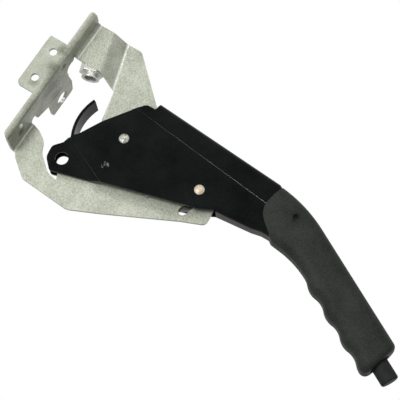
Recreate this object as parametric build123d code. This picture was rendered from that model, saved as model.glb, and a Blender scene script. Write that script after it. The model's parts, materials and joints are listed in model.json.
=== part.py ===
"""Parking brake lever assembly: a formed zinc bracket, a black channel lever on a shoulder pin,
a ratchet and pawl inside the channel, and a push button that lifts the pawl through the grip.

Millimetres, +Z up along the bracket's base plate, +X away from the mounting face towards the grip,
+Y away from the side that carries the two-hole flange. The origin is midway between the two
base bolts, on the mounting face. The lever is modelled pulled up, one notch short of its top stop.
"""

import os
from math import atan2, cos, degrees, pi, radians, sin, tan

from build123d import *

# Bracket sheet and its base plate
SHEET = 2.5
BEND = 2.0  # inner radius of the bracket's folds
WIDE_BEND = 4.0  # inner radius of the fold into the upper arm
RAMP_BEND = 5.0  # inner radius of the upper arm's two soft folds
BASE_TOP = 80.0
UPPER_DROP = 0.7
UPPER_TOP = BASE_TOP - UPPER_DROP
BASE_FOOT = -47.5
NEAR_EDGE = -10.0  # Y of the lip's outer face
LIP_REACH = 2.5  # how far the lip stands past the mounting face
LIP_FOOT = -44.5
BOLT_SPACING = 60.0
BOLT_HOLE = 6.6

# Two-hole side flange, a wider stretch of the lip
FLANGE_REACH = 19.0
FLANGE_FOOT = -4.5
FLANGE_TOP = 44.7
FLANGE_HOLE_SPACING = 26.0
FLANGE_HOLE_X = -8.8
FLANGE_HOLE_MID_Z = 20.4

# Tab at the far edge of the base plate, with the grommet hole
TAB_FAR = 47.5
TAB_TOP = 32.5
TAB_FOOT = 3.0
TAB_HOLE = 13.0
TAB_HOLE_Y = 39.0
TAB_HOLE_Z = 18.0
TAB_FOLD_Y = 24.0
TAB_FOLD = 14.0  # length of the pressed fold mark
NOTCH = 6.6  # radius of the relief between tab and upper arm
NOTCH_Z = 38.2
FOOT_NOTCH = 4.0  # radius of the relief above the lower arm
FOOT_NOTCH_Z = -15.6

# Planes of the bracket's arms, as Y of the near face
MID = 18.0  # middle plane of the sector plate, the lever and the cable
UPPER_FLAT = 7.0
UPPER_FOOT = 44.3
RAMP_START = 38.8  # where the upper arm starts to drop, along its own direction
RAMP_RUN = 12.1
RAMP_LEAN = 15.9  # lean of the two folds from Z

# Lever pivot: everything on the lever is placed from here
PIVOT_X = 76.8
PIVOT_Z = 5.4
JOURNAL = 10.0
PIVOT_END = 7.0
PIVOT_HEAD = 8.4
HEAD_RISE = 1.2
RUNNING = 0.05  # radial running clearance
BUSH_WALL = 2.5

# Outline of the sector plate
SECTOR_END = 91.0

# Ratchet
PITCH = 3.0  # degrees for each notch
NOTCHES_UP = 1
NOTCHES_DOWN = 5
TOOTH_TIP = 62.0
TOOTH_ROOT = 59.8
TOOTH_AT = -25.2  # angle of the tooth face that holds the pawl
TOOTH_RELIEF = 20.0
SECTOR_INNER = 41.0
SECTOR_THICK = 4.0
SECTOR_RIVET = 5.0
SECTOR_RIVET_RADIUS = 48.0
TOOTH_CLEAR = 0.15

# Pawl
PAWL_RADIUS = 75.2
PAWL_ANGLE = -3.9
PAWL_PIN = 6.0
PAWL_PIN_HEAD = 8.4
PAWL_THICK = 3.0
PAWL_HUB = 6.5
PAWL_ARM = 24.0
PAWL_EYE = 4.6
SIDE_GAP = 0.3
SLOT_CLEAR = 0.4

# Lever channel
LEVER_WIDTH = 22.0
WALL = 2.0
TAIL_WIDTH = 10.4
TAIL_HOLE = 11.0
TAIL_HOLE_X = 41.5
TAIL_HOLE_Z = -33.3
ROOF_X = 83.8  # where the roof of the channel starts
ROOF_Z = 48.5
ROOF_SLOPE = 4.1
CREASE_Z = 31.0  # height of the crease at ROOF_X
CREASE_SLOPE = 6.2
RIDGE_HALF = 7.0
RIDGE_RISE = 5.2
BELLY_START = 171.5
NECK_X = 202.5
NECK_END = 228.5
JOGGLE_X = 62.3
JOGGLE_Z = -30.6
JOGGLE_SLOPE = 24.0
JOGGLE_RUN = 5.0

# Cable quadrant
QUADRANT_OUTER = 43.5
QUADRANT_THICK = 2.5
QUADRANT_TIP = 158.0
QUADRANT_ROOT = 210.0
EAR = 1.5
EAR_RIVET_X = 76.5
EAR_RIVET_Z = -21.4
EAR_RIVET = 4.5
EAR_RIVET_HEAD = 6.4

# Handle
GRIP_SLOPE = 28.0
GRIP_AXIS = 121.6  # distance of the grip's axis from the origin, across its slope
GRIP_TOP = 139.3
GRIP_HALF_WIDTH = 13.5
GRIP_END = 319.0  # at the spine; the end face leans out towards the fingers
END_LEAN = 7.0
FINGER_END = GRIP_END + END_LEAN
FINGER_PITCH = 24.2
FINGER_HOLLOWS = 4
KNUCKLE_LEAD = 0.7  # the last knuckle's top past the spine's end
LAST_KNUCKLE = GRIP_END + KNUCKLE_LEAD
FIRST_HOLLOW = LAST_KNUCKLE - (FINGER_HOLLOWS - 0.5) * FINGER_PITCH
HOLLOW_RISE = 107.9
KNUCKLE_RISE = 105.6
GRIP_START = 195.0  # X where the moulding would start without its curved mouth
SPINE_BEND = 209.0  # distance where the straight spine ends
SPINE_MOUTH = (208.0, 38.1)
FINGER_MOUTH = (229.0, -6.0)
SPINE_CORNER = 12.0
FINGER_CORNER = 9.5
END_ROUND = 5.0
VENT = 3.4
VENT_X = 228.5
VENT_Z = 20.0
VENT_DEPTH = 1.3
CORE = 22.0
CORE_WALL = 1.6
CORE_BORE = CORE - 2 * CORE_WALL
CORE_SETBACK = 7.0
CORE_END = GRIP_END - CORE_SETBACK
CORE_NECK = 16.0  # diameter of the core where it enters the lever
CORE_NECK_Z = 15.8
CORE_NECK_SLOPE = 6.0
CORE_BEND = 40.0
SWELL_START = 212.0  # the core swells to its full diameter between these distances
SWELL_END = 236.0

# Button and release rod
GUIDE_WALL = 1.8
BUTTON_GAP = 0.25
BUTTON = CORE_BORE - 2 * (GUIDE_WALL + BUTTON_GAP)
BUTTON_STICK_OUT = 19.6
BUTTON_ROUND = 1.6
BUTTON_FLANGE = 2.0
GUIDE_LENGTH = 13.0
ROD = 3.0
HOOK_GAP = 0.25
HOOK_BEND = 1.7
ROD_BEND = 197.0
SEAT_LENGTH = 6.0
SPRING_ROOM = 34.0  # from the seat to the end of the core
SEAT_END = CORE_END - SPRING_ROOM
SPRING_WIRE = 1.2
SPRING_SLACK = 3.8
SPRING_OUTER = CORE_BORE - SPRING_SLACK
SPRING_TURNS = 4
WIRE_FLATS = 6  # a hidden spring's wire is modelled with this many flats
HELPER_WIRE = 0.9
HELPER_TURNS = 2
HELPER_GAP = 0.88  # between its coil and the far cheek
HELPER_LEG = 8.0

# Conduit nut
NUT_ACROSS = 18.5
NUT_X = 18.6
NUT_Z = 41.9
NUT_LEAN = 19.4
NUT_LENGTH = 13.0
COLLAR = 15.2
COLLAR_LENGTH = 4.0
CONDUIT_BORE = 10.2

PLATE_NEAR = MID - SHEET / 2
PLATE_FAR = MID + SHEET / 2
ROD_SIDE_Y = PLATE_FAR + SIDE_GAP + PAWL_THICK + HOOK_GAP + ROD / 2
INNER_HALF = LEVER_WIDTH / 2 - WALL
BUSH_SLACK = 0.8
BUSH_LENGTH = 2 * (INNER_HALF - EAR) - BUSH_SLACK
FAR_OUT = 400.0  # beyond every outline
TINY = 1e-6  # a line shorter than this is left out


def outline(corners):
    """Face on XY through corners (x, y, radius), each rounded by its own radius."""
    edges, last, first = [], None, None
    count = len(corners)
    for i, (x, y, radius) in enumerate(corners):
        here = Vector(x, y)
        back = (Vector(*corners[i - 1][:2]) - here).normalized()
        ahead = (Vector(*corners[(i + 1) % count][:2]) - here).normalized()
        start = end = here
        arc = None
        if radius:
            half = radians(back.get_angle(ahead)) / 2
            start, end = here + back * (radius / tan(half)), here + ahead * (radius / tan(half))
            middle = here + (back + ahead).normalized() * (radius / sin(half) - radius)
            arc = ThreePointArc(start, middle, end)
        if last is None:
            first = start
        elif (start - last).length > TINY:
            edges.append(Line(last, start))
        if arc:
            edges.append(arc)
        last = end
    if (first - last).length > TINY:
        edges.append(Line(last, first))
    return make_face(edges)


def slab(face, near, far):
    """Side-view face (x, z) made solid from Y = near to Y = far."""
    return extrude(Plane.XZ.offset(-near) * face, amount=near - far)


def side_disc(x, z, diameter, near, far):
    """Cylinder along Y."""
    return slab(Pos(x, z) * Circle(diameter / 2), near, far)


def at(radius, angle):
    """Side-view point at a radius and an angle, in degrees, about the lever pivot."""
    return PIVOT_X + radius * cos(radians(angle)), PIVOT_Z + radius * sin(radians(angle))


def band(turn, origin, profile, length):
    """Folded sheet: a profile (along, Y) run along a fold line that leans by turn degrees from Z."""
    along = (cos(radians(turn)), 0, sin(radians(turn)))
    plane = Plane(origin=(origin[0], 0, origin[1]), x_dir=along, z_dir=(-along[2], 0, along[0]))
    face = outline([(u, v, r) for u, v, r in profile])
    flip = -1 if plane.y_dir.Y < 0 else 1
    if flip < 0:
        face = outline([(u, -v, r) for u, v, r in profile])
    return extrude(plane * face, amount=length, both=True)


def fold(step_from, step_to, run, before, after, thick, bend):
    """Profile of a sheet that steps from one Y to another over a run, with rounded folds."""
    rise = step_to - step_from
    shift = thick * tan(atan2(abs(rise), run) / 2) * (1 if rise > 0 else -1)
    outer = bend + thick
    near = (outer, bend) if rise > 0 else (bend, outer)
    return [
        (-before, step_from, 0),
        (0, step_from, near[0]),
        (run, step_to, near[1]),
        (after, step_to, 0),
        (after, step_to + thick, 0),
        (run - shift, step_to + thick, near[0]),
        (-shift, step_from + thick, near[1]),
        (-before, step_from + thick, 0),
    ]


def base_plate():
    """Base plate with its tab, reliefs, bolt holes and the pressed fold mark."""
    notch_y = UPPER_FLAT + SHEET + NOTCH / 2
    foot_y = PLATE_FAR - FOOT_NOTCH
    face = outline(
        [
            (NEAR_EDGE + BEND + SHEET, BASE_FOOT, 0),
            (PLATE_NEAR - BEND, BASE_FOOT, 0),
            (PLATE_NEAR - BEND, FOOT_NOTCH_Z, 0),
            (PLATE_FAR + 1, FOOT_NOTCH_Z + FOOT_NOTCH, 1),
            (TAB_FOLD_Y + 2, TAB_FOOT, 1),
            (TAB_FAR, TAB_FOOT, 2),
            (TAB_FAR, TAB_TOP - 1, 3),
            (PLATE_FAR + 14, TAB_TOP + 1, 3),
            (PLATE_FAR, TAB_TOP - 1, 1),
            (notch_y, NOTCH_Z, 0),
            (UPPER_FLAT - WIDE_BEND, UPPER_FOOT + 2, 0),
            (UPPER_FLAT - WIDE_BEND, BASE_TOP, 0),
            (NEAR_EDGE + BEND + SHEET, BASE_TOP, 0),
        ]
    )
    face -= Pos(notch_y + NOTCH / 3, NOTCH_Z) * Circle(NOTCH)
    face -= Pos(foot_y, FOOT_NOTCH_Z) * Circle(FOOT_NOTCH)
    for z in (-BOLT_SPACING / 2, BOLT_SPACING / 2):
        face -= Pos(0, z) * Circle(BOLT_HOLE / 2)
    face -= Pos(TAB_HOLE_Y, TAB_HOLE_Z) * Circle(TAB_HOLE / 2)
    plate = extrude(Plane.YZ * face, amount=SHEET)
    mark = Pos(SHEET, TAB_FOLD_Y, TAB_HOLE_Z - 3) * Box(SHEET / 2, SHEET / 4, TAB_FOLD)
    return plate - mark


def corner_strip(outside_y, toward, foot, top, tip, bend):
    """Fold between the base plate and a sheet across it, as an L-shaped profile run along Z."""
    outer_x, inner_x = (0, SHEET) if tip > 0 else (SHEET, 0)
    inside_y = outside_y + toward * SHEET
    plate_end = inside_y + toward * bend
    corners = [
        (outer_x, plate_end, 0),
        (outer_x, outside_y, bend + SHEET),
        (tip, outside_y, 0),
        (tip, inside_y, 0),
        (inner_x, inside_y, bend),
        (inner_x, plate_end, 0),
    ]
    return Pos(0, 0, foot) * extrude(outline(corners), amount=top - foot)


def lip_and_flange():
    """Near edge of the base plate, folded out past the mounting face, and the two-hole flange."""
    lip = corner_strip(NEAR_EDGE, 1, BASE_FOOT, BASE_TOP, -LIP_REACH, BEND)
    ends = outline(
        [
            (-LIP_REACH, LIP_FOOT, 2),
            (0.5, BASE_FOOT, 0),
            (FLANGE_REACH, BASE_FOOT, 0),
            (FLANGE_REACH, BASE_TOP, 0),
            (-LIP_REACH, BASE_TOP, 2.4),
        ]
    )
    lip = lip & slab(ends, NEAR_EDGE - 1, PLATE_FAR)
    flange = slab(
        outline(
            [
                (-LIP_REACH / 2, FLANGE_FOOT, 0),
                (-LIP_REACH / 2, FLANGE_TOP, 0),
                (-FLANGE_REACH, FLANGE_TOP, 1.5),
                (-FLANGE_REACH, FLANGE_FOOT, 4),
            ]
        ),
        NEAR_EDGE,
        NEAR_EDGE + SHEET,
    )
    for side in (-1, 1):
        z = FLANGE_HOLE_MID_Z + side * FLANGE_HOLE_SPACING / 2
        flange -= side_disc(FLANGE_HOLE_X, z, BOLT_HOLE, NEAR_EDGE - 1, NEAR_EDGE + SHEET + 1)
    return lip + flange


def upper_arm():
    """Upper arm: a flat beside the cable, then a ramp down to the plane of the sector plate."""
    drop = fold(UPPER_FLAT, PLATE_NEAR, RAMP_RUN, FAR_OUT / 4, FAR_OUT / 2, SHEET, RAMP_BEND)
    start = (RAMP_START * cos(radians(RAMP_LEAN)), RAMP_START * sin(radians(RAMP_LEAN)))
    sheet = band(RAMP_LEAN, start, drop, FAR_OUT / 2)
    shape = outline(
        [
            (WIDE_BEND + SHEET, UPPER_TOP, 0),
            (43.8, BASE_TOP - 0.2, 7),
            (82.3, 44.3, 8),
            (96.0, 38.0, 0),
            (90.0, 12.0, 0),
            (49.4, 12.1, 0),
            (43.6, 38.6, 3),
            (27.0, UPPER_FOOT, 12),
            (WIDE_BEND + SHEET, UPPER_FOOT, 0),
        ]
    )
    arm = sheet & slab(shape, 0, 2 * MID)
    root = corner_strip(UPPER_FLAT + SHEET, -1, UPPER_FOOT, UPPER_TOP, WIDE_BEND + SHEET, WIDE_BEND)
    return arm + root


def sector_plate():
    """Sector plate round the pivot and the lower arm, flat in the middle plane."""
    plate = slab(
        outline(
            [
                (49.4, 12.1, 10),
                (52.0, -6.0, 14),
                (57.5, -29.0, 4),
                (44.3, -44.8, 2),
                (47.2, -50.3, 0.5),
                (37.5, -48.6, 12),
                (23.4, -36.6, 12),
                (19.0, -27.0, 14),
                (11.0, -22.1, 5),
                (BEND + SHEET, -20.0, 0),
                (BEND + SHEET, BASE_FOOT, 0),
                (7.8, -51.8, 3),
                (22.4, -63.3, 6),
                (67.7, -66.5, 12),
                (92.7, -55.2, 20),
                (150.6, -27.2, 30),
                (*at(SECTOR_END + 5, -15.0), 5),
                (*at(SECTOR_END, 1.0), 5),
                (82.3, 44.3, 8),
            ]
        ),
        PLATE_NEAR,
        PLATE_FAR,
    )
    return plate


def pin_slot():
    """Arc slot that the pawl pin runs in, long enough for the lever's whole range."""
    half = degrees(2 * SLOT_CLEAR / PAWL_RADIUS) / 2
    low = PAWL_ANGLE - NOTCHES_DOWN * PITCH - half
    high = PAWL_ANGLE + NOTCHES_UP * PITCH + half
    width = PAWL_PIN / 2 + SLOT_CLEAR
    ring = side_disc(PIVOT_X, PIVOT_Z, 2 * (PAWL_RADIUS + width), 0, 2 * MID)
    ring -= side_disc(PIVOT_X, PIVOT_Z, 2 * (PAWL_RADIUS - width), 0, 2 * MID)
    wedge = outline([(PIVOT_X, PIVOT_Z, 0), (*at(FAR_OUT, low), 0), (*at(FAR_OUT, high), 0)])
    slot = ring & slab(wedge, 0, 2 * MID)
    for angle in (low, high):
        slot += side_disc(*at(PAWL_RADIUS, angle), 2 * width, 0, 2 * MID)
    return slot


def base_bracket():
    """The whole formed bracket as one sheet."""
    bracket = base_plate() + lip_and_flange() + upper_arm() + sector_plate()
    bracket += corner_strip(PLATE_FAR, -1, BASE_FOOT, -20.0, BEND + SHEET, BEND)
    bracket -= pin_slot()
    bracket -= side_disc(PIVOT_X, PIVOT_Z, JOURNAL + 2 * RUNNING + 2 * BUSH_WALL, 0, 2 * MID)
    for x, z in sector_rivet_places():
        bracket -= side_disc(x, z, SECTOR_RIVET, 0, 2 * MID)
    return bracket


def sector_rivet_places():
    """Two rivets behind the teeth, both covered by the lever when it is pulled up."""
    return [at(SECTOR_RIVET_RADIUS, TOOTH_AT + turn * PITCH) for turn in (-3, 2)]


def ratchet_sector():
    """Hardened tooth segment on the far side of the sector plate."""
    lean = degrees((TOOTH_TIP - TOOTH_ROOT) * tan(radians(TOOTH_RELIEF)) / TOOTH_TIP)
    low, high = TOOTH_AT - (NOTCHES_DOWN + 1) * PITCH, TOOTH_AT + (NOTCHES_UP + 2) * PITCH
    points = [at(SECTOR_INNER, low), at(TOOTH_ROOT, low)]
    for k in range(NOTCHES_DOWN + NOTCHES_UP + 3):
        face = low + k * PITCH
        if k:
            points += [at(TOOTH_TIP, face - lean), at(TOOTH_ROOT, face)]
    points += [at(TOOTH_TIP, high - lean), at(TOOTH_ROOT, high + lean), at(SECTOR_INNER, high)]
    sector = slab(outline([(x, z, 0) for x, z in points]), PLATE_FAR, PLATE_FAR + SECTOR_THICK)
    for x, z in sector_rivet_places():
        sector -= side_disc(x, z, SECTOR_RIVET, 0, 2 * MID)
    return sector


def rivet(x, z, shank, head, near, far):
    """Rivet along Y with a low domed head on each end."""
    dome = (head * head / 4 + HEAD_RISE * HEAD_RISE) / (2 * HEAD_RISE)
    body = side_disc(x, z, shank, near, far)
    for base, toward in ((near, 1), (far, -1)):
        ball = Pos(x, base + toward * (dome - HEAD_RISE), z) * Sphere(dome)
        body += ball & side_disc(x, z, head + 1, base - toward * 2 * HEAD_RISE, base)
    return body


def pivot_bush():
    """Flanged sleeve pressed into the sector plate."""
    outer = JOURNAL + 2 * RUNNING + 2 * BUSH_WALL
    sleeve = side_disc(PIVOT_X, PIVOT_Z, outer, MID - BUSH_LENGTH / 2, MID + BUSH_LENGTH / 2)
    sleeve += side_disc(PIVOT_X, PIVOT_Z, outer + 2 * WALL, PLATE_FAR, PLATE_FAR + WALL)
    return sleeve - side_disc(PIVOT_X, PIVOT_Z, JOURNAL + 2 * RUNNING, 0, 2 * MID)


def conduit_nut():
    """Hexagon nut with a round collar, welded behind the upper arm, for the cable's conduit."""
    plane = Plane(
        origin=(NUT_X, UPPER_FLAT + SHEET + NUT_ACROSS / 2, NUT_Z),
        x_dir=(0, 1, 0),
        z_dir=(sin(radians(NUT_LEAN)), 0, -cos(radians(NUT_LEAN))),
    )
    hexagon = RegularPolygon(NUT_ACROSS / 2, 6, major_radius=False, rotation=30)
    nut = extrude(plane * hexagon, amount=-NUT_LENGTH)
    nut += extrude(plane * Circle(COLLAR / 2), amount=COLLAR_LENGTH)
    return nut - extrude(plane * Circle(CONDUIT_BORE / 2), amount=FAR_OUT / 4, both=True)


def arch(half, crease, ridge_half, shoulder, top, bottom, corner):
    """Section of the channel: upright cheeks, a crease, sloping sides and a round ridge."""
    return make_face(
        [
            Line((-half + corner, bottom), (half - corner, bottom)),
            ThreePointArc(
                (half - corner, bottom),
                (half - corner * (1 - cos(pi / 4)), bottom + corner * (1 - sin(pi / 4))),
                (half, bottom + corner),
            ),
            Line((half, bottom + corner), (half, crease)),
            Line((half, crease), (ridge_half, shoulder)),
            ThreePointArc((ridge_half, shoulder), (0, top), (-ridge_half, shoulder)),
            Line((-ridge_half, shoulder), (-half, crease)),
            Line((-half, crease), (-half, bottom + corner)),
            ThreePointArc(
                (-half, bottom + corner),
                (-half + corner * (1 - cos(pi / 4)), bottom + corner * (1 - sin(pi / 4))),
                (-half + corner, bottom),
            ),
        ]
    )


def roof(x):
    """Height of the channel's ridge."""
    return ROOF_Z - (x - ROOF_X) * tan(radians(ROOF_SLOPE))


def crease(x):
    """Height of the crease between cheek and sloping side."""
    return CREASE_Z - (x - ROOF_X) * tan(radians(CREASE_SLOPE))


def channel_form(inset):
    """Outer form of the channel, or its hollow when inset by the wall."""
    half = LEVER_WIDTH / 2
    reach = inset / 2
    stations = [
        (20.0 - reach, roof(20.0), crease(20.0), -84.0, 0.5),
        (BELLY_START, roof(BELLY_START), crease(BELLY_START), -7.6, 5.0),
        (NECK_X, roof(NECK_X), crease(NECK_X), -4.6, 6.0),
        (NECK_X + 8, 35.9, 17.0, -2.8, 6.0),
        (NECK_END + reach, 30.2, 12.5, -2.6, 6.0),
    ]
    faces = []
    for i, (x, top, edge, bottom, corner) in enumerate(stations):
        floor = bottom + (inset if i else 0)
        corner = max(corner - inset, 0.4)
        face = arch(
            half - inset,
            edge - inset / 4,
            RIDGE_HALF - inset,
            top - RIDGE_RISE - inset / 4,
            top - inset,
            floor,
            corner,
        )
        plane = Plane(origin=(x, MID, 0), x_dir=(0, 1, 0), z_dir=(1, 0, 0))
        faces.append(plane * face)
    return loft(faces, ruled=True)


def lever_outline():
    """Side view of the lever's cheeks, open to the right where the neck runs on."""
    return outline(
        [
            (28.6, -28.4, 5),
            (29.9, -38.6, 8),
            (38.5, -47.0, 3),
            (162.5, -12.4, 0),
            (175.0, -30.0, 0),
            (FAR_OUT, -30.0, 0),
            (FAR_OUT, 90.0, 0),
            (ROOF_X, 90.0, 0),
            (ROOF_X, 40.6, 1.5),
            (75.5, 40.6, 5),
            (67.6, 28.4, 20),
            (53.4, 8.8, 30),
            (41.2, -13.6, 20),
        ]
    )


def joggle_plane_cut(distance):
    """Everything beyond a line parallel to the joggle, on the tail's side of it."""
    block = Box(FAR_OUT, FAR_OUT, FAR_OUT)
    place = Pos(JOGGLE_X, 0, JOGGLE_Z) * Rot(0, JOGGLE_SLOPE, 0) * Pos(0, 0, distance - FAR_OUT / 2)
    return place * block


def joggled_tail(side):
    """One cheek of the tail, stepped towards the middle plane."""
    wide, narrow = LEVER_WIDTH / 2, TAIL_WIDTH / 2
    if side < 0:
        start, end = MID - wide, MID - narrow
    else:
        start, end = MID + wide - WALL, MID + narrow - WALL
    profile = fold(start, end, JOGGLE_RUN, JOGGLE_RUN, FAR_OUT / 6, WALL, WALL / 2)
    turn = -90 - JOGGLE_SLOPE
    lean = radians(90 - JOGGLE_SLOPE)
    origin = (JOGGLE_X + cos(lean) * JOGGLE_RUN / 2, JOGGLE_Z + sin(lean) * JOGGLE_RUN / 2)
    return band(turn, origin, profile, FAR_OUT / 6)


def lever_arm():
    """Pressed channel lever with its roof, closed neck and joggled tail."""
    body = (channel_form(0) - channel_form(WALL)) & slab(lever_outline(), 0, 2 * MID)
    open_side = outline([(0, -90, 0), (BELLY_START, -90, 0), (BELLY_START, 10, 0), (0, 10, 0)])
    body -= slab(open_side, MID - INNER_HALF, MID + INNER_HALF)
    step = JOGGLE_RUN * 1.5
    body -= joggle_plane_cut(step)
    tail = joggled_tail(-1) + joggled_tail(1)
    tail = tail & slab(lever_outline(), 0, 2 * MID) & joggle_plane_cut(step)
    lever = body + tail
    lever -= side_disc(PIVOT_X, PIVOT_Z, PIVOT_END, 0, 2 * MID)
    lever -= side_disc(*at(PAWL_RADIUS, PAWL_ANGLE), PAWL_PIN, 0, 2 * MID)
    lever -= side_disc(EAR_RIVET_X, EAR_RIVET_Z, EAR_RIVET, 0, 2 * MID)
    lever -= side_disc(TAIL_HOLE_X, TAIL_HOLE_Z, TAIL_HOLE, 0, 2 * MID)
    return lever


def cable_quadrant():
    """Curved cable guide between two ears that lie inside the lever's cheeks."""
    inner = QUADRANT_OUTER - QUADRANT_THICK
    sector = outline(
        [
            (PIVOT_X, PIVOT_Z, 0),
            (*at(FAR_OUT, QUADRANT_TIP), 0),
            (-FAR_OUT, 0, 0),
            (*at(FAR_OUT, QUADRANT_ROOT), 0),
        ]
    )
    near, far = MID - INNER_HALF, MID + INNER_HALF
    strip = side_disc(PIVOT_X, PIVOT_Z, 2 * QUADRANT_OUTER, near, far)
    strip -= side_disc(PIVOT_X, PIVOT_Z, 2 * inner, near - 1, far + 1)
    strip = strip & slab(sector, near, far)
    ear_face = outline(
        [
            (*at(QUADRANT_OUTER - 0.5, QUADRANT_ROOT), 1),
            (EAR_RIVET_X - 4, EAR_RIVET_Z - 6, 5),
            (EAR_RIVET_X + 7, EAR_RIVET_Z - 4, 6),
            (PIVOT_X + 9, PIVOT_Z + 8, 7),
            (PIVOT_X - 8, PIVOT_Z + 10, 7),
            (*at(26.0, 196.0), 12),
            (*at(QUADRANT_OUTER - 0.5, QUADRANT_ROOT - 4), 1),
        ]
    )
    guide = strip + slab(ear_face, near, near + EAR) + slab(ear_face, far - EAR, far)
    guide -= side_disc(PIVOT_X, PIVOT_Z, JOURNAL, 0, 2 * MID)
    guide -= side_disc(EAR_RIVET_X, EAR_RIVET_Z, EAR_RIVET, 0, 2 * MID)
    return guide


def shoulder_pin():
    """Pivot pin: a journal between the cheeks and thinner ends riveted over outside them."""
    outside = LEVER_WIDTH / 2
    pin = rivet(PIVOT_X, PIVOT_Z, PIVOT_END, PIVOT_HEAD, MID - outside, MID + outside)
    return pin + side_disc(PIVOT_X, PIVOT_Z, JOURNAL, MID - INNER_HALF, MID + INNER_HALF)


def pawl():
    """Pawl: a hub, a nose with one tooth, and an arm with an eye for the release rod."""
    near = PLATE_FAR + SIDE_GAP
    hub_x, hub_z = at(PAWL_RADIUS, PAWL_ANGLE)
    lean = degrees((TOOTH_TIP - TOOTH_ROOT) * tan(radians(TOOTH_RELIEF)) / TOOTH_TIP)
    gap = degrees(TOOTH_CLEAR / TOOTH_TIP)
    face = TOOTH_AT + gap
    tip_r, out_r = TOOTH_ROOT + 3 * TOOTH_CLEAR, TOOTH_TIP + 2 * TOOTH_CLEAR
    reach = out_r - TOOTH_ROOT
    out_lean = lean * reach / (TOOTH_TIP - TOOTH_ROOT)
    eye_x, eye_z = rod_eye()
    nose = outline(
        [
            (*at(tip_r, face + gap), 0),
            (*at(out_r, face - out_lean), 0),
            (*at(out_r + 5, face - 3.4), 2),
            (*at(PAWL_RADIUS + PAWL_HUB + 1, PAWL_ANGLE - 7), 6),
            (hub_x + PAWL_HUB, hub_z + 3, 4),
            (eye_x + PAWL_EYE, eye_z + 1, 4),
            (eye_x - PAWL_EYE + 0.5, eye_z + 3.4, 4),
            (hub_x - PAWL_HUB + 0.5, hub_z + 4, 5),
            (*at(PAWL_RADIUS - PAWL_HUB, PAWL_ANGLE - 6), 4),
            (*at(out_r + 1.5, face + PITCH + 1), 1),
            (*at(out_r, face + PITCH - out_lean - 2 * gap), 0),
        ]
    )
    body = slab(nose, near, near + PAWL_THICK)
    body += side_disc(hub_x, hub_z, 2 * PAWL_HUB, near, near + PAWL_THICK)
    body -= side_disc(hub_x, hub_z, PAWL_PIN + 2 * RUNNING, 0, 2 * MID)
    return body - side_disc(eye_x, eye_z, PAWL_EYE, 0, 2 * MID)


def rod_eye():
    """Side-view place of the rod's hook, square to the way the rod is pushed."""
    hub_x, hub_z = at(PAWL_RADIUS, PAWL_ANGLE)
    slope = radians(GRIP_SLOPE)
    return hub_x + PAWL_ARM * sin(slope), hub_z + PAWL_ARM * cos(slope)


def pawl_spacer():
    """Sleeve that keeps the pawl beside the sector."""
    start = PLATE_FAR + 2 * SIDE_GAP + PAWL_THICK
    hub = at(PAWL_RADIUS, PAWL_ANGLE)
    sleeve = side_disc(*hub, PAWL_PIN + 2 * WALL, start, MID + INNER_HALF)
    return sleeve - side_disc(*hub, PAWL_PIN, 0, 2 * MID)


def along_grip(distance, up=0.0):
    """Point in the middle plane at a distance along the grip and above its axis."""
    slope = radians(GRIP_SLOPE)
    high = GRIP_AXIS + up
    return Vector(
        distance * cos(slope) + high * sin(slope), MID, -distance * sin(slope) + high * cos(slope)
    )


def grip_plane(distance):
    """Plane across the grip, X towards +Y and Y towards the spine."""
    slope = radians(GRIP_SLOPE)
    return Plane(origin=along_grip(distance), x_dir=(0, 1, 0), z_dir=(cos(slope), 0, -sin(slope)))


def grip_point(distance, rise):
    """Side-view point at a distance along the grip and a rise from the origin across it."""
    here = along_grip(distance, rise - GRIP_AXIS)
    return here.X, here.Z


def finger_side():
    """Edges of the grip's outline under the fingers: equal arcs, hollow and knuckle in turn."""
    step = FINGER_PITCH / 2
    between = (HOLLOW_RISE + KNUCKLE_RISE) / 2
    bottom = grip_point(FIRST_HOLLOW, HOLLOW_RISE)
    forward = grip_plane(0).z_dir
    edges = [TangentArc(bottom, FINGER_MOUTH, tangent=(-forward.X, -forward.Z))]
    rise_end = grip_point(FIRST_HOLLOW + step / 2, between)
    edges.append(TangentArc(bottom, rise_end, tangent=(forward.X, forward.Z)))
    for k in range(1, 2 * FINGER_HOLLOWS - 1):
        place = FIRST_HOLLOW + k * step
        rise = KNUCKLE_RISE if k % 2 else HOLLOW_RISE
        ends = grip_point(place - step / 2, between), grip_point(place + step / 2, between)
        edges.append(ThreePointArc(ends[0], grip_point(place, rise), ends[1]))
    knuckle = grip_point(LAST_KNUCKLE, KNUCKLE_RISE)
    edges.append(TangentArc(edges[-1] @ 1, knuckle, tangent=edges[-1] % 1))
    edges.append(Line(knuckle, grip_point(FINGER_END, KNUCKLE_RISE)))
    return edges


def run_on(edge, x):
    """Straight line on from the end of an edge to a given x."""
    end, way = edge @ 1, edge % 1
    return Line(end, (x, end.Y + (x - end.X) * way.Y / way.X))


def grip_outline():
    """Side view of the moulding: finger side, flat end and a spine that bends towards the lever."""
    fingers = finger_side()
    forward = grip_plane(0).z_dir
    foot = run_on(fingers[0], GRIP_START)
    spine_start = grip_point(SPINE_BEND, GRIP_TOP)
    end = Line(grip_point(FINGER_END, KNUCKLE_RISE), grip_point(GRIP_END, GRIP_TOP))
    spine = Line(end @ 1, spine_start)
    bend = TangentArc(spine_start, SPINE_MOUTH, tangent=(-forward.X, -forward.Z))
    top = run_on(bend, GRIP_START)
    return make_face([*fingers, end, spine, bend, top, Line(top @ 1, foot @ 1), foot])


def along_grip_axis():
    """Direction to sort by for the far end of the handle."""
    return Axis((0, 0, 0), grip_plane(0).z_dir)


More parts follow.
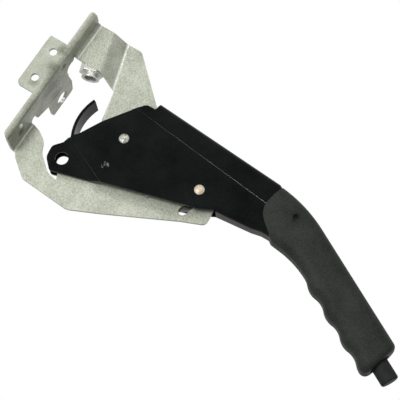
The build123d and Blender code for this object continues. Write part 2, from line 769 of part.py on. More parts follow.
def grip_blank():
    """Moulding before its mouth is cut: an extruded outline with rounded edges and end."""
    near, far = MID - GRIP_HALF_WIDTH, MID + GRIP_HALF_WIDTH
    blank = slab(grip_outline(), near, far)
    for side, radius in ((-1, FINGER_CORNER), (1, SPINE_CORNER)):
        rims = [
            edge
            for edge in blank.edges()
            if long_rim(edge, near, far) and (across_grip(edge @ 0.5) - GRIP_AXIS) * side > 0
        ]
        blank = fillet(rims, radius)
    end = blank.faces().sort_by(along_grip_axis())[-1]
    return fillet(end.edges(), END_ROUND)


def across_grip(point):
    """Rise of a point from the origin, across the grip."""
    slope = radians(GRIP_SLOPE)
    return point.X * sin(slope) + point.Z * cos(slope)


def long_rim(edge, near, far):
    """True for an edge of one of the two flat sides that runs along the grip."""
    start, end = edge @ 0, edge @ 1
    flat = any(abs(start.Y - y) < TINY and abs(end.Y - y) < TINY for y in (near, far))
    return flat and abs((edge % 0.5).dot(grip_plane(0).z_dir)) > cos(pi / 4)


def core_form(inset):
    """Outer form of the handle core, or its hollow when inset: a bent neck, a swell, a tube."""
    lean = radians(CORE_NECK_SLOPE)
    start = Vector(NECK_X + 4 - inset / 4, MID, CORE_NECK_Z)
    meet = (GRIP_AXIS - across_grip(start)) / sin(radians(GRIP_SLOPE) - lean)
    corner = start + Vector(cos(lean), 0, -sin(lean)) * meet
    radius, neck = CORE / 2 - inset, CORE_NECK / 2 - inset
    form = bent_wire([start, corner, along_grip(SWELL_START)], [CORE_BEND], 2 * neck)
    rings = [grip_plane(SWELL_START) * Circle(neck), grip_plane(SWELL_END) * Circle(radius)]
    form += loft(rings, ruled=True)
    return form + extrude(grip_plane(SWELL_END) * Circle(radius), amount=CORE_END - SWELL_END + inset)


def handle_core():
    """Tube inside the grip; a plug on its narrow end fills the lever's neck."""
    plug = channel_form(WALL) & slab(outline([(x, z, 0) for x, z in neck_plug_corners()]), 0, 2 * MID)
    return core_form(0) + plug - core_form(CORE_WALL)


def neck_plug_corners():
    """Side view of the plug, square to the lever."""
    near, far = NECK_X + 6, NECK_X + 14
    return [(near, -20), (far, -20), (far, 60), (near, 60)]


def grip_mouth():
    """Everything in front of the grip's curved mouth."""
    return slab(
        outline(
            [
                (150, 80, 0),
                (150, -40, 0),
                (231.0, -40, 0),
                (226.5, -9.0, 6),
                (210.0, 4.0, 14),
                (201.6, 12.0, 16),
                (206.5, 37.0, 0),
                (209.0, 80, 0),
            ]
        ),
        0,
        2 * MID,
    )


def grip():
    """Moulded sleeve with four finger hollows, a curved mouth and a small blind vent."""
    sleeve = grip_blank() - grip_mouth() - channel_form(0) - core_form(0)
    sleeve -= side_disc(VENT_X, VENT_Z, VENT, 0, MID - GRIP_HALF_WIDTH + VENT_DEPTH)
    return sleeve - extrude(grip_plane(CORE_END - 1) * Circle(CORE_BORE / 2), amount=40)


def button_guide():
    """Bush in the end of the core that the button runs in."""
    start = CORE_END - GUIDE_LENGTH
    guide = extrude(grip_plane(start) * Circle(CORE_BORE / 2), amount=GUIDE_LENGTH)
    return guide - extrude(grip_plane(start - 1) * Circle(BUTTON / 2 + BUTTON_GAP), amount=GUIDE_LENGTH + 2)


def push_button():
    """Domed button with a flange that rests behind its guide."""
    inner = CORE_END - GUIDE_LENGTH - SIDE_GAP
    end = GRIP_END + BUTTON_STICK_OUT
    button = extrude(grip_plane(inner) * Circle(BUTTON / 2), amount=end - inner)
    rim = button.edges().sort_by(along_grip_axis())[-1]
    button = fillet(rim, BUTTON_ROUND)
    flange = CORE_BORE / 2 - BUTTON_GAP
    button += extrude(grip_plane(inner) * Circle(flange), amount=-BUTTON_FLANGE)
    socket = extrude(grip_plane(inner - BUTTON_FLANGE) * Circle(ROD / 2), amount=2 * BUTTON_FLANGE)
    return button - socket


def button_back():
    """Distance along the grip of the button's spring face."""
    return CORE_END - GUIDE_LENGTH - SIDE_GAP - BUTTON_FLANGE


def bent_wire(points, radii, diameter):
    """Round wire along straight runs joined by tangent arcs."""
    points = [Vector(*p) for p in points]
    edges, last = [], points[0]
    for i, radius in enumerate(radii, 1):
        here = points[i]
        back, ahead = (points[i - 1] - here).normalized(), (points[i + 1] - here).normalized()
        half = radians(back.get_angle(ahead)) / 2
        start, end = here + back * (radius / tan(half)), here + ahead * (radius / tan(half))
        middle = here + (back + ahead).normalized() * (radius / sin(half) - radius)
        edges += [Line(last, start), ThreePointArc(start, middle, end)]
        last = end
    edges.append(Line(last, points[-1]))
    path = Wire([edge for piece in edges for edge in piece.edges()])
    return sweep(Plane(origin=points[0], z_dir=points[1] - points[0]) * Circle(diameter / 2), path=path)


def release_rod():
    """Bent wire from the button to the pawl, hooked through the pawl's eye."""
    eye_x, eye_z = rod_eye()
    points = [
        (eye_x, PLATE_FAR + SIDE_GAP, eye_z),
        (eye_x, ROD_SIDE_Y, eye_z),
        (eye_x + 14, ROD_SIDE_Y, eye_z - 0.8),
        (eye_x + 30, MID, eye_z - 3.0),
        along_grip(ROD_BEND),
        along_grip(button_back() + 2 * BUTTON_FLANGE),
    ]
    return bent_wire(points, [HOOK_BEND, 12, 12, 24], ROD)


def rod_guide():
    """Plastic seat in the core: guides the rod and carries the button spring."""
    seat = extrude(grip_plane(SEAT_END) * Circle(CORE_BORE / 2), amount=-SEAT_LENGTH)
    return seat - extrude(grip_plane(SEAT_END + 1) * Circle(ROD / 2 + BUTTON_GAP), amount=-SEAT_LENGTH - 2)


def wire_section(diameter):
    """Section of a hidden spring's wire."""
    return RegularPolygon(diameter / 2, WIRE_FLATS)


def button_spring():
    """Compression spring from the seat to the button's flange."""
    length = button_back() - SEAT_END - SPRING_WIRE
    radius = (SPRING_OUTER - SPRING_WIRE) / 2
    coil = Helix(pitch=length / SPRING_TURNS, height=length, radius=radius)
    start = coil @ 0
    wire = sweep(Plane(origin=start, z_dir=coil % 0) * wire_section(SPRING_WIRE), path=coil, is_frenet=True)
    return grip_plane(SEAT_END + SPRING_WIRE / 2).location * wire


def pawl_spring():
    """Torsion spring round the spacer, with a straight leg at each end of its coil."""
    radius = PAWL_PIN / 2 + WALL + HELPER_WIRE / 2 + SIDE_GAP
    near = PLATE_FAR + 3 * SIDE_GAP + PAWL_THICK + HELPER_WIRE / 2
    pitch = (MID + INNER_HALF - HELPER_GAP - HELPER_WIRE / 2 - near) / HELPER_TURNS
    coil = Helix(pitch=pitch, height=pitch * HELPER_TURNS, radius=radius)
    start = coil @ 0 - (coil % 0) * HELPER_LEG
    legs = [Line(start, coil @ 0), Line(coil @ 1, coil @ 1 + (coil % 1) * HELPER_LEG)]
    path = Wire([*legs[0].edges(), *coil.edges(), *legs[1].edges()])
    wire = sweep(Plane(origin=start, z_dir=coil % 0) * wire_section(HELPER_WIRE), path=path)
    hub_x, hub_z = at(PAWL_RADIUS, PAWL_ANGLE)
    frame = Plane(origin=(hub_x, near, hub_z), x_dir=(0, 0, 1), z_dir=(0, 1, 0))
    return frame.location * wire


def parts():
    """Every node with its solid."""
    outside = LEVER_WIDTH / 2
    pieces = {
        "base_bracket": base_bracket(),
        "ratchet_sector": ratchet_sector(),
        "pivot_bush": pivot_bush(),
        "conduit_nut": conduit_nut(),
        "lever_arm": lever_arm(),
        "cable_quadrant": cable_quadrant(),
        "pivot_pin": shoulder_pin(),
        "pawl_pin": rivet(
            *at(PAWL_RADIUS, PAWL_ANGLE), PAWL_PIN, PAWL_PIN_HEAD, MID - outside, MID + outside
        ),
        "pawl_spacer": pawl_spacer(),
        "pawl": pawl(),
        "pawl_spring": pawl_spring(),
        "release_rod": release_rod(),
        "rod_guide": rod_guide(),
        "button_spring": button_spring(),
        "button_guide": button_guide(),
        "push_button": push_button(),
        "handle_core": handle_core(),
        "grip": grip(),
    }
    for k, (x, z) in enumerate(sector_rivet_places(), 1):
        pieces[f"sector_rivet_{k}"] = rivet(
            x, z, SECTOR_RIVET, SECTOR_RIVET * 1.5, PLATE_NEAR, PLATE_FAR + SECTOR_THICK
        )
    near, far = MID - outside, MID + outside
    pieces["ear_rivet_near"] = rivet(
        EAR_RIVET_X, EAR_RIVET_Z, EAR_RIVET, EAR_RIVET_HEAD, near, near + WALL + EAR
    )
    pieces["ear_rivet_far"] = rivet(
        EAR_RIVET_X, EAR_RIVET_Z, EAR_RIVET, EAR_RIVET_HEAD, far - WALL - EAR, far
    )
    return pieces


os.makedirs("parts", exist_ok=True)
for name, shape in parts().items():
    export_step(shape, f"parts/{name}.step")
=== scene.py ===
# %% [markdown]
# A parking brake lever: a zinc-plated bracket folded from one sheet, a black pressed channel lever that
# turns on a pin, a soft grip with finger hollows, and a push button that frees the ratchet.
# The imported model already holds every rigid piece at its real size, so this script gives those pieces
# their finish: small bevels that catch the light, and materials made of nodes.

import json
import math

import bmesh
import bpy
from mathutils import Matrix, Vector

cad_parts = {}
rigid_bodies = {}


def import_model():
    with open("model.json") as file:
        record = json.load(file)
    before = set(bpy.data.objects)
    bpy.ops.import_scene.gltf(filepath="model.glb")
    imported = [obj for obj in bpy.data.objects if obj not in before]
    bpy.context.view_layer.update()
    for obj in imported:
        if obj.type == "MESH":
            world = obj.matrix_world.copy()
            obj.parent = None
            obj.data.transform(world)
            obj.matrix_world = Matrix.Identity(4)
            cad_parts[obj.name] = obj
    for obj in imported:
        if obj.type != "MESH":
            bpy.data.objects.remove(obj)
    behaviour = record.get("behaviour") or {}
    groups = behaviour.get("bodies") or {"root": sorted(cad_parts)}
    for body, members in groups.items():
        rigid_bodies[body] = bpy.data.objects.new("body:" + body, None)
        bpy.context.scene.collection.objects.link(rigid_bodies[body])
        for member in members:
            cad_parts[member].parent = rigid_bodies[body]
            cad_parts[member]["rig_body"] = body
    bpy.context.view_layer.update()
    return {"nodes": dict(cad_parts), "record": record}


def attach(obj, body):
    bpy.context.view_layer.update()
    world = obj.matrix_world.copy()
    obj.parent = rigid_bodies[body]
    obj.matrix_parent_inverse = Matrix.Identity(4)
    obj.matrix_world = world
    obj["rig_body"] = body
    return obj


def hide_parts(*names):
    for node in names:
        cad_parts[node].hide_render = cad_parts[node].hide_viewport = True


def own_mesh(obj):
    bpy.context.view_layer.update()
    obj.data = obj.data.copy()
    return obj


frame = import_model()
scene = bpy.context.scene
MM = 0.001

# %% [markdown]
# The photograph was taken with a long lens, from the side that carries the two-hole flange and from a
# little below. Its camera was solved from the bracket's square edges, so it is given here as a place
# and three directions: right, up and back.

# %% Camera
CAMERA_PLACE = Vector((424.9, -1100.3, -309.1)) * MM
CAMERA_RIGHT = Vector((0.840189, 0.056025, 0.539392))
CAMERA_UP = Vector((-0.492345, -0.338152, 0.802029))
CAMERA_BACK = Vector((0.227330, -0.939422, -0.256528))
LENS = 135.0
SENSOR = 36.0
FAR_CLIP = 20.0


def turned(right, up, back):
    """Rotation whose columns are three directions."""
    return Matrix((right, up, back)).transposed().to_4x4()


camera_data = bpy.data.cameras.new("camera")
camera_data.lens = LENS
camera_data.sensor_width = SENSOR
camera_data.clip_end = FAR_CLIP
camera = bpy.data.objects.new("camera", camera_data)
camera.matrix_world = Matrix.Translation(CAMERA_PLACE) @ turned(CAMERA_RIGHT, CAMERA_UP, CAMERA_BACK)
scene.collection.objects.link(camera)
scene.camera = camera

# %% [markdown]
# Two lamps light the object. A broad one beside the lens reaches every face that the camera sees. A
# long narrow one, high above and lying along the lever's crease, is mirrored there as a thin line. The
# line could also be painted on, but then it would stay put when the view or the light changes.

# %% Lamps
MIDDLE = Vector((150.0, 18.0, 10.0)) * MM
CREASE_WAY = Vector((0.994, 0.0, -0.108))


def area_lamp(name, right, up, back, length, width, power):
    """Lamp at a place given in the camera's own directions, aimed at the object, long side by the crease."""
    lamp = bpy.data.lights.new(name, "AREA")
    lamp.shape = "RECTANGLE"
    lamp.size = length
    lamp.size_y = width
    lamp.energy = power
    item = bpy.data.objects.new(name, lamp)
    place = MIDDLE + CAMERA_RIGHT * right + CAMERA_UP * up + CAMERA_BACK * back
    away = (place - MIDDLE).normalized()
    side = away.cross(CREASE_WAY).normalized()
    item.matrix_world = Matrix.Translation(place) @ turned(side.cross(away), side, away)
    scene.collection.objects.link(item)


area_lamp("front_lamp", -0.58, 0.33, 0.95, 0.35, 0.35, 6.6)
area_lamp("crease_lamp", 0.08, 1.06, 0.72, 0.90, 0.05, 3.4)

# %% [markdown]
# Materials and the world are trees of nodes. Two small helpers keep the cells that build them short:
# one joins two sockets, the other makes a node and sets its values in one call.

# %% Node helpers


def link(tree, out_socket, in_socket):
    """Joins two sockets."""
    tree.links.new(out_socket, in_socket)


def node(tree, kind, **values):
    """New node; values named after its inputs or its own settings are set on it."""
    item = tree.nodes.new(kind)
    for name, value in values.items():
        if hasattr(item, name):
            setattr(item, name, value)
        else:
            item.inputs[name.replace("_", " ")].default_value = value
    return item


# %% [markdown]
# A white background could come from strong world light, but that would wash the object out. Light Path
# tells camera, mirror and glass rays from the rays that light the object, so the first see white and
# the object is still lit at a plain level.

# %% World
WORLD_LIGHT = 0.22


def plain_sight(tree):
    """Socket that is 1 for camera, mirror and glass rays, and 0 for the rays that light the object."""
    path = node(tree, "ShaderNodeLightPath")
    seen = path.outputs["Is Camera Ray"]
    for name in ("Is Glossy Ray", "Is Transmission Ray"):
        either = node(tree, "ShaderNodeMath", operation="MAXIMUM")
        link(tree, seen, either.inputs[0])
        link(tree, path.outputs[name], either.inputs[1])
        seen = either.outputs[0]
    return seen


world = bpy.data.worlds.new("studio")
scene.world = world
world.use_nodes = True
tree = world.node_tree
background = tree.nodes["Background"]
background.inputs["Color"].default_value = (1, 1, 1, 1)
level = node(tree, "ShaderNodeMapRange", To_Min=WORLD_LIGHT, To_Max=1.0)
link(tree, plain_sight(tree), level.inputs["Value"])
link(tree, level.outputs[0], background.inputs["Strength"])

scene.view_settings.view_transform = "Standard"
print("world light", WORLD_LIGHT)

# %% [markdown]
# The object is held in the air in the photograph, so its floor lies a metre below.

# %% Floor
FLOOR_Z = -1000.0 * MM
FLOOR_HALF = 10.0
FLOOR_COLOUR = (0.86, 0.86, 0.86, 1)
FLOOR_ROUGHNESS = 0.9
FLOOR_GLOW = 0.55


def floor_plane():
    """Wide pale floor below the object."""
    mesh = bpy.data.meshes.new("floor")
    form = bmesh.new()
    bmesh.ops.create_grid(form, x_segments=1, y_segments=1, size=FLOOR_HALF)
    bmesh.ops.translate(form, verts=form.verts, vec=(0, 0, FLOOR_Z))
    form.to_mesh(mesh)
    form.free()
    item = bpy.data.objects.new("floor", mesh)
    scene.collection.objects.link(item)
    paint = bpy.data.materials.new("floor_paint")
    paint.use_nodes = True
    shader = paint.node_tree.nodes["Principled BSDF"]
    shader.inputs["Base Color"].default_value = FLOOR_COLOUR
    shader.inputs["Roughness"].default_value = FLOOR_ROUGHNESS
    shader.inputs["Emission Color"].default_value = (1, 1, 1, 1)
    glow = node(paint.node_tree, "ShaderNodeMath", operation="MULTIPLY")
    glow.inputs[1].default_value = FLOOR_GLOW
    link(paint.node_tree, plain_sight(paint.node_tree), glow.inputs[0])
    link(paint.node_tree, glow.outputs[0], shader.inputs["Emission Strength"])
    mesh.materials.append(paint)
    print("floor at", FLOOR_Z)


floor_plane()

# %% [markdown]
# Every finish here is uneven on the real object: plating is speckled, paint gathers dust, rubber is
# dull with a fine grain. That unevenness is built once as a group of nodes and then placed in each
# material with its own size and strength.

# %% Grain group
NOISE_LOW = 0.3
NOISE_HIGH = 0.7


def grain_group():
    """Group: cloudy and fine masks, and a height for bumps, in Object coordinates."""
    group = bpy.data.node_groups.new("surface_grain", "ShaderNodeTree")
    face = group.interface
    for name, value in (("Cloud Scale", 40.0), ("Fine Scale", 900.0)):
        face.new_socket(name, in_out="INPUT", socket_type="NodeSocketFloat").default_value = value
    for name in ("Cloud", "Fine", "Height"):
        face.new_socket(name, in_out="OUTPUT", socket_type="NodeSocketFloat")
    start = group.nodes.new("NodeGroupInput")
    end = group.nodes.new("NodeGroupOutput")
    place = node(group, "ShaderNodeTexCoord")
    cloud = node(group, "ShaderNodeTexNoise", Detail=4.0, Roughness=0.6)
    fine = node(group, "ShaderNodeTexNoise", Detail=2.0, Roughness=0.7)
    for texture, name in ((cloud, "Cloud Scale"), (fine, "Fine Scale")):
        link(group, place.outputs["Object"], texture.inputs["Vector"])
        link(group, start.outputs[name], texture.inputs["Scale"])
    for texture, name in ((cloud, "Cloud"), (fine, "Fine")):
        ramp = node(group, "ShaderNodeMapRange", From_Min=NOISE_LOW, From_Max=NOISE_HIGH)
        link(group, texture.outputs["Fac"], ramp.inputs["Value"])
        link(group, ramp.outputs[0], end.inputs[name])
    link(group, fine.outputs["Fac"], end.inputs["Height"])
    return group


GRAIN = grain_group()
print("group", GRAIN.name)

# %% [markdown]
# Where the press or a hand has rubbed a part, its finish changes: folds of the plated sheet are
# burnished bright, and paint is worn through on cut edges and rivet heads. The bevels and folds are
# marked on each mesh as an attribute, because an attribute follows the surface exactly, and this group
# breaks the mark up with noise so that the wear is patchy.

# %% Wear group
WORN_FROM = 0.9
WORN_TO = 1.1


def wear_group():
    """Group: a patchy wear mask from a mark stored on the mesh."""
    group = bpy.data.node_groups.new("surface_wear", "ShaderNodeTree")
    face = group.interface
    for name, value in (("Mark", 0.0), ("Patch Scale", 200.0), ("Amount", 0.5)):
        face.new_socket(name, in_out="INPUT", socket_type="NodeSocketFloat").default_value = value
    face.new_socket("Worn", in_out="OUTPUT", socket_type="NodeSocketFloat")
    start = group.nodes.new("NodeGroupInput")
    end = group.nodes.new("NodeGroupOutput")
    place = node(group, "ShaderNodeTexCoord")
    patch = node(group, "ShaderNodeTexNoise", Detail=3.0, Roughness=0.6)
    link(group, place.outputs["Object"], patch.inputs["Vector"])
    link(group, start.outputs["Patch Scale"], patch.inputs["Scale"])
    offset = node(group, "ShaderNodeMath", operation="ADD")
    link(group, patch.outputs["Fac"], offset.inputs[0])
    link(group, start.outputs["Amount"], offset.inputs[1])
    sharpen = node(group, "ShaderNodeMapRange", From_Min=WORN_FROM, From_Max=WORN_TO)
    link(group, offset.outputs[0], sharpen.inputs["Value"])
    worn = node(group, "ShaderNodeMath", operation="MULTIPLY")
    link(group, sharpen.outputs[0], worn.inputs[0])
    link(group, start.outputs["Mark"], worn.inputs[1])
    link(group, worn.outputs[0], end.inputs["Worn"])
    return group


WEAR = wear_group()
print("group", WEAR.name)

# %% [markdown]
# Wear lies over a finish that is already there: whatever feeds the colour and the roughness is unplugged,
# mixed with the worn value by the mask, and plugged in again. So any number of marks can follow.

# %% Worn marks


def add_wear(tree, shader, mark, colour, rough, amount, patch_scale):
    """Mixes a worn colour and roughness over a finish where the mesh is marked."""
    attribute = node(tree, "ShaderNodeAttribute", attribute_name=mark)
    wear = tree.nodes.new("ShaderNodeGroup")
    wear.node_tree = WEAR
    wear.inputs["Amount"].default_value = amount
    wear.inputs["Patch Scale"].default_value = patch_scale
    link(tree, attribute.outputs["Fac"], wear.inputs["Mark"])
    paint = node(tree, "ShaderNodeMix", data_type="RGBA")
    paint.inputs[7].default_value = (*colour, 1)
    dull = node(tree, "ShaderNodeMix", data_type="FLOAT")
    dull.inputs[3].default_value = rough
    for mix, low, out, name in ((paint, 6, 2, "Base Color"), (dull, 2, 0, "Roughness")):
        link(tree, shader.inputs[name].links[0].from_socket, mix.inputs[low])
        link(tree, wear.outputs["Worn"], mix.inputs["Factor"])
        link(tree, mix.outputs[out], shader.inputs[name])


# %% [markdown]
# The lever's long crease is polished by the hand that slides along it. Only its gloss changes: a clear
# coat on the marked strip, which mirrors the long lamp. How far the polish reaches is a guess.

# %% Polished crease
COAT_ROUGHNESS = 0.10
LEAST_POLISH = 0.35


def add_polished_crease(tree, shader, start_x, end_x):
    """Gloss left by rubbing along a crease, more and more towards the hand: a clear coat, no colour."""
    attribute = node(tree, "ShaderNodeAttribute", attribute_name="rubbed_crease")
    place = node(tree, "ShaderNodeTexCoord")
    split = node(tree, "ShaderNodeSeparateXYZ")
    link(tree, place.outputs["Object"], split.inputs[0])
    grow = node(tree, "ShaderNodeMapRange", From_Min=start_x * MM, From_Max=end_x * MM, To_Min=LEAST_POLISH)
    link(tree, split.outputs["X"], grow.inputs["Value"])
    mask = node(tree, "ShaderNodeMath", operation="MULTIPLY")
    link(tree, grow.outputs[0], mask.inputs[0])
    link(tree, attribute.outputs["Fac"], mask.inputs[1])
    link(tree, mask.outputs[0], shader.inputs["Coat Weight"])
    shader.inputs["Coat Roughness"].default_value = COAT_ROUGHNESS


# %% [markdown]
# Plating darkens in patches where liquid has dried, mostly round holes. A patch is the distance to one
# point of the object, made ragged by noise and turned into a mask that fades out. The same patch is
# also used as painted shade in the grip's recess.

# %% Stains and painted shade
PATCH_GRAIN = 260.0
RAGGEDNESS = 1.6
FADE_FROM = -0.5
FADE_TO = 0.3


def add_stain_and_painted_shade(tree, shader, centre, reach, colour, strength):
    """Darkens a finish in a ragged patch round a point of the object."""
    place = node(tree, "ShaderNodeTexCoord")
    middle = node(tree, "ShaderNodeVectorMath", operation="DISTANCE")
    middle.inputs[1].default_value = [v * MM for v in centre]
    link(tree, place.outputs["Object"], middle.inputs[0])
    ragged = node(tree, "ShaderNodeTexNoise", Scale=PATCH_GRAIN, Detail=4.0, Roughness=0.65)
    link(tree, place.outputs["Object"], ragged.inputs["Vector"])
    edge = node(tree, "ShaderNodeMath", operation="MULTIPLY_ADD")
    edge.inputs[1].default_value = -reach * MM * RAGGEDNESS
    link(tree, ragged.outputs["Fac"], edge.inputs[0])
    link(tree, middle.outputs["Value"], edge.inputs[2])
    fade = node(tree, "ShaderNodeMapRange", From_Min=reach * MM * FADE_FROM, From_Max=reach * MM * FADE_TO)
    fade.inputs["To Min"].default_value = strength
    fade.inputs["To Max"].default_value = 0.0
    link(tree, edge.outputs[0], fade.inputs["Value"])
    paint = node(tree, "ShaderNodeMix", data_type="RGBA")
    paint.inputs[7].default_value = (*colour, 1)
    link(tree, shader.inputs["Base Color"].links[0].from_socket, paint.inputs[6])
    link(tree, fade.outputs[0], paint.inputs["Factor"])
    link(tree, paint.outputs[2], shader.inputs["Base Color"])


# %% [markdown]
# One function builds a finish from two colours, two roughness levels and a bump. The cloud mask drifts
# between the colours over centimetres, and the fine mask speckles them over tenths of a millimetre.

# %% Finish builder
BUMP_DEPTH = 0.0003


def finish_material(
    name, dark, light, rough, cloud_scale, fine_scale, bump,
    metallic=0.0, speckle=0.5, gloss=0.5, wear=(), stains_and_painted_shade=(), crease=None,
):
    """Principled material whose colour and roughness vary with the grain group."""
    material = bpy.data.materials.new(name)
    material.use_nodes = True
    tree = material.node_tree
    shader = tree.nodes["Principled BSDF"]
    shader.inputs["Metallic"].default_value = metallic
    shader.inputs["Specular IOR Level"].default_value = gloss
    grain = tree.nodes.new("ShaderNodeGroup")
    grain.node_tree = GRAIN
    grain.inputs["Cloud Scale"].default_value = cloud_scale
    grain.inputs["Fine Scale"].default_value = fine_scale
    both = node(tree, "ShaderNodeMix", data_type="FLOAT")
    both.inputs["Factor"].default_value = speckle
    link(tree, grain.outputs["Cloud"], both.inputs[2])
    link(tree, grain.outputs["Fine"], both.inputs[3])
    colour = node(tree, "ShaderNodeMix", data_type="RGBA")
    colour.inputs[6].default_value = (*dark, 1)
    colour.inputs[7].default_value = (*light, 1)
    link(tree, both.outputs[0], colour.inputs["Factor"])
    link(tree, colour.outputs[2], shader.inputs["Base Color"])
    dull = node(tree, "ShaderNodeMapRange", To_Min=rough[0], To_Max=rough[1])
    link(tree, both.outputs[0], dull.inputs["Value"])
    link(tree, dull.outputs[0], shader.inputs["Roughness"])
    if bump:
        relief = node(tree, "ShaderNodeBump", Strength=bump, Distance=BUMP_DEPTH)
        link(tree, grain.outputs["Height"], relief.inputs["Height"])
        link(tree, relief.outputs["Normal"], shader.inputs["Normal"])
    for patch in stains_and_painted_shade:
        add_stain_and_painted_shade(tree, shader, *patch)
    for mark in wear:
        add_wear(tree, shader, *mark)
    if crease:
        add_polished_crease(tree, shader, *crease)
    return material


# %% [markdown]
# One finish for each material slot of the imported model, with plain levels that can be changed here. The
# stain patches lie where the photograph shows the plating darker round the flange and the bolt holes, and
# one more patch is painted shade that darkens the grip's recess.

# %% Finishes
STAINS = (
    ((-3.4, -10.0, 38.5), 5.0, (0.10, 0.115, 0.075), 0.75),
    ((-1.5, -10.0, 22.0), 6.0, (0.12, 0.14, 0.09), 0.7),
    ((-7.0, -10.0, 3.5), 5.0, (0.12, 0.14, 0.09), 0.6),
    ((2.5, 7.5, -33.5), 4.5, (0.05, 0.05, 0.04), 0.8),
    ((2.5, 4.0, 12.0), 14.0, (0.11, 0.115, 0.09), 0.7),
    ((2.5, 22.0, 12.0), 9.0, (0.10, 0.11, 0.09), 0.65),
)
# Painted shade: a near-black patch that darkens the grip's recess.
GRIP_RECESS_PAINTED_SHADE = ((228.5, 5.5, 20.0), 4.2, (0.002, 0.002, 0.002), 0.9)
FINISHES = {
    "zinc_plate": finish_material(
        "zinc_plate", (0.20, 0.22, 0.165), (0.66, 0.68, 0.57), (0.5, 0.34), 60, 1100, 0.3,
        metallic=0.3, speckle=0.66,
        wear=(
            ("worn_edge", (0.72, 0.74, 0.66), 0.3, 0.5, 260),
            ("burnished_fold", (0.66, 0.68, 0.62), 0.26, 0.66, 90),
        ),
        stains_and_painted_shade=STAINS,
    ),
    "zinc_nut": finish_material(
        "zinc_nut", (0.40, 0.42, 0.37), (0.78, 0.78, 0.73), (0.45, 0.28), 90, 1500, 0.1, metallic=0.6,
        wear=(("worn_edge", (0.86, 0.87, 0.82), 0.25, 0.6, 200),),
    ),
    "black_paint": finish_material(
        "black_paint", (0.0005, 0.0009, 0.0009), (0.012, 0.0155, 0.014), (0.10, 0.16), 34, 900, 0.03,
        speckle=0.4, gloss=0.05,
        crease=(80.0, 195.0),
        wear=(
            ("worn_edge", (0.10, 0.085, 0.07), 0.45, 0.33, 120),
            ("cut_edge", (0.16, 0.10, 0.075), 0.5, 0.52, 120),
            ("worn_head", (0.42, 0.41, 0.36), 0.4, 0.44, 330),
        ),
    ),
    "hardened_steel": finish_material(
        "hardened_steel", (0.10, 0.10, 0.10), (0.22, 0.21, 0.20), (0.5, 0.35), 120, 1200, 0.1, metallic=0.9
    ),
    "bush_brass": finish_material(
        "bush_brass", (0.35, 0.26, 0.12), (0.55, 0.42, 0.2), (0.45, 0.3), 120, 1200, 0.05, metallic=0.9
    ),
    "spring_wire": finish_material(
        "spring_wire", (0.2, 0.2, 0.2), (0.4, 0.4, 0.4), (0.4, 0.3), 120, 1200, 0.05, metallic=0.9
    ),
    "guide_plastic": finish_material(
        "guide_plastic", (0.5, 0.5, 0.46), (0.62, 0.62, 0.58), (0.5, 0.4), 60, 800, 0.03
    ),
    "core_tube": finish_material(
        "core_tube", (0.006, 0.006, 0.006), (0.015, 0.015, 0.015), (0.4, 0.5), 60, 800, 0.05
    ),
    "grip_rubber": finish_material(
        "grip_rubber", (0.011, 0.014, 0.011), (0.060, 0.067, 0.060), (0.42, 0.66), 55, 850, 0.5,
        speckle=0.6, gloss=0.08,
        # painted shade darkening the grip's recess
        stains_and_painted_shade=(GRIP_RECESS_PAINTED_SHADE,),
    ),
    "button_plastic": finish_material(
        "button_plastic", (0.012, 0.014, 0.013), (0.048, 0.054, 0.050), (0.42, 0.55), 60, 1200, 0.05,
        gloss=0.03,
    ),
}
print("finishes", len(FINISHES))

# %% [markdown]
# The two pins share a slot with other steel, but in the photograph one head is hammered grey and the
# other is a warm yellow, so each gets a finish of its own with coarser grain.

# %% Rivet heads
OWN_FINISH = {
    "pivot_pin": finish_material(
        "peened_zinc", (0.07, 0.07, 0.055), (0.70, 0.70, 0.62), (0.45, 0.28), 520, 1500, 0.5,
        metallic=0.5, speckle=0.3,
    ),
    "pawl_pin": finish_material(
        "yellowed_zinc", (0.42, 0.33, 0.20), (0.86, 0.76, 0.60), (0.5, 0.3), 420, 1500, 0.4,
        metallic=0.3, speckle=0.35,
    ),
}

# %% [markdown]
# A sheet-metal edge is never perfectly sharp, and a razor-sharp edge is what makes a model look like a
# drawing. Each node but two that lie inside is copied, its loose triangles are merged and its flat
# neighbours are joined. Bevels need that, because an edge between loose triangles can't be rounded.

# %% Merged form
SLOT_OF = {row["node"]: row["material_slot"] for row in frame["record"]["subparts"]}
MERGE_REACH = 0.002 * MM
FLAT = math.radians(0.5)


def copied_form(name):
    """The node's mesh with its loose triangles merged and its flat stretches joined."""
    form = bmesh.new()
    form.from_mesh(frame["nodes"][name].data)
    bmesh.ops.remove_doubles(form, verts=form.verts, dist=MERGE_REACH)
    bmesh.ops.dissolve_limit(form, angle_limit=FLAT, verts=form.verts, edges=form.edges)
    return form


print("slots", sorted(set(SLOT_OF.values())))

# %% [markdown]
# Wear follows the form, so it is found by measuring. A burnished fold is a narrow strip between shallow
# valleys, and a cut edge is a face no wider than the sheet. Only folds that face sideways are marked.

# %% Folds and cut edges
SHARP = math.radians(16.0)
FLATTEST = math.radians(1.0)
FOLD_AREA = 200.0 * MM * MM
SIDEWAYS = 0.88
CUT_WIDTH = 2.2 * MM


def marked_folds(form):
    """Marks the strips on the inside of each fold, where neighbours meet at a shallow valley."""
    mark = form.faces.layers.float.new("burnished_fold")
    for face in form.faces:
        valleys = [
            edge
            for edge in face.edges
            if not edge.is_convex and FLATTEST < edge.calc_face_angle(0) < SHARP
        ]
        seen = abs(face.normal.y) > SIDEWAYS and face.calc_area() < FOLD_AREA
        face[mark] = 1.0 if seen and len(valleys) > 1 else 0.0


def marked_cuts(form):
    """Marks the narrow cut edges of the sheet that look down or forward."""
    mark = form.faces.layers.float.new("cut_edge")
    for face in form.faces:
        across = [vert.co.y for vert in face.verts]
        narrow = max(across) - min(across) < CUT_WIDTH
        face[mark] = 1.0 if narrow and abs(face.normal.y) < 0.2 and face.normal.z < 0.5 else 0.0


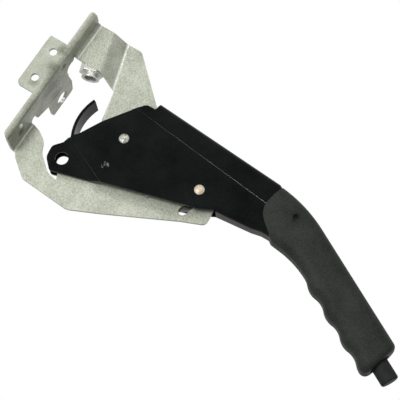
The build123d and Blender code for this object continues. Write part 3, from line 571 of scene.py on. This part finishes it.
# %% [markdown]
# The bmesh bevel puts a few narrow faces in place of an edge. The long blunt creases come first and are
# marked as rubbed. The sharp edges follow and are marked as worn.

# %% Bevels
CREASE_TURN = (math.radians(10.0), math.radians(20.0))
CREASE_LENGTH = 25.0 * MM
CREASE_WIDTH = 1.5 * MM
CREASE_FLANK = 0.35


def bevelled(form, width, segments):
    """Bevels the long creases and the sharp edges, and marks the new faces as rubbed or worn."""
    mark = form.faces.layers.float.new("worn_edge")
    long_creases = [
        edge
        for edge in form.edges
        if CREASE_TURN[0] < edge.calc_face_angle(0) < CREASE_TURN[1] and edge.calc_length() > CREASE_LENGTH
    ]
    rubbed = form.faces.layers.float.new("rubbed_crease")
    rounded = bmesh.ops.bevel(
        form,
        geom=long_creases,
        offset=CREASE_WIDTH,
        offset_type="OFFSET",
        segments=4,
        profile=0.5,
        affect="EDGES",
        clamp_overlap=True,
        material=-1,
    )
    for face in rounded["faces"]:
        neighbours = {other for edge in face.edges for other in edge.link_faces}
        inside = sum(other in rounded["faces"] for other in neighbours) > 2
        face[rubbed] = 1.0 if inside else CREASE_FLANK
    sharp = [edge for edge in form.edges if edge.calc_face_angle(0) > SHARP]
    made = bmesh.ops.bevel(
        form,
        geom=sharp,
        offset=width * MM,
        offset_type="OFFSET",
        segments=segments,
        profile=0.5,
        affect="EDGES",
        clamp_overlap=True,
        material=-1,
    )
    for face in made["faces"]:
        face[mark] = 1.0


# %% [markdown]
# The copy takes the node's place: it rides on the same body, keeps its material slot, and names the node
# that it replaces. Weighted normals keep the flat faces flat beside their rounded edges.

# %% Finished copy
SMOOTH_BELOW = math.radians(50.0)


def finished_copy(name, width, segments=2, head=False):
    """Piece that replaces a node: the same form with bevelled edges and smooth curves."""
    mesh = bpy.data.meshes.new(name + "_finished")
    form = copied_form(name)
    marked_folds(form)
    if name == "lever_arm":
        marked_cuts(form)
    bevelled(form, width, segments)
    if head:
        mark = form.faces.layers.float.new("worn_head")
        for face in form.faces:
            face[mark] = 1.0
    form.to_mesh(mesh)
    form.free()
    piece = bpy.data.objects.new(name + "_finished", mesh)
    scene.collection.objects.link(piece)
    mesh.materials.append(OWN_FINISH.get(name) or FINISHES[SLOT_OF[name]])
    mesh.shade_smooth()
    mesh.set_sharp_from_angle(angle=SMOOTH_BELOW)
    weigh = piece.modifiers.new("flat_faces_stay_flat", "WEIGHTED_NORMAL")
    weigh.keep_sharp = True
    body = frame["nodes"][name]["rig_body"]
    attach(piece, body)
    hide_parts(name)
    return piece


# %% [markdown]
# Every node gets the finish of its slot, and each width below is the size in millimetres of one piece's
# bevel: small on pressed steel, larger on moulded rubber. The return spring shortens as the button goes
# in; its copy here only gets a mesh of its own.

# %% All the pieces
for name, item in frame["nodes"].items():
    item.data.materials.clear()
    item.data.materials.append(FINISHES[SLOT_OF[name]])

BEVELS = {
    "base_bracket": 0.35,
    "lever_arm": 0.5,
    "cable_quadrant": 0.3,
    "conduit_nut": 0.4,
    "pivot_pin": 0.2,
    "pawl_pin": 0.2,
    "ear_rivet_near": 0.2,
    "ear_rivet_far": 0.2,
    "push_button": 0.4,
    "grip": 0.6,
    "ratchet_sector": 0.12,
    "pawl": 0.15,
    "pawl_spacer": 0.15,
    "pivot_bush": 0.2,
    "sector_rivet_1": 0.15,
    "sector_rivet_2": 0.15,
    "rod_guide": 0.2,
    "button_guide": 0.2,
    "release_rod": 0.15,
    "button_spring": 0.08,
}
for name, width in BEVELS.items():
    piece = finished_copy(name, width, head=name.startswith("ear_rivet"))
    print(name, len(piece.data.polygons))
    if name == "button_spring":
        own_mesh(piece)
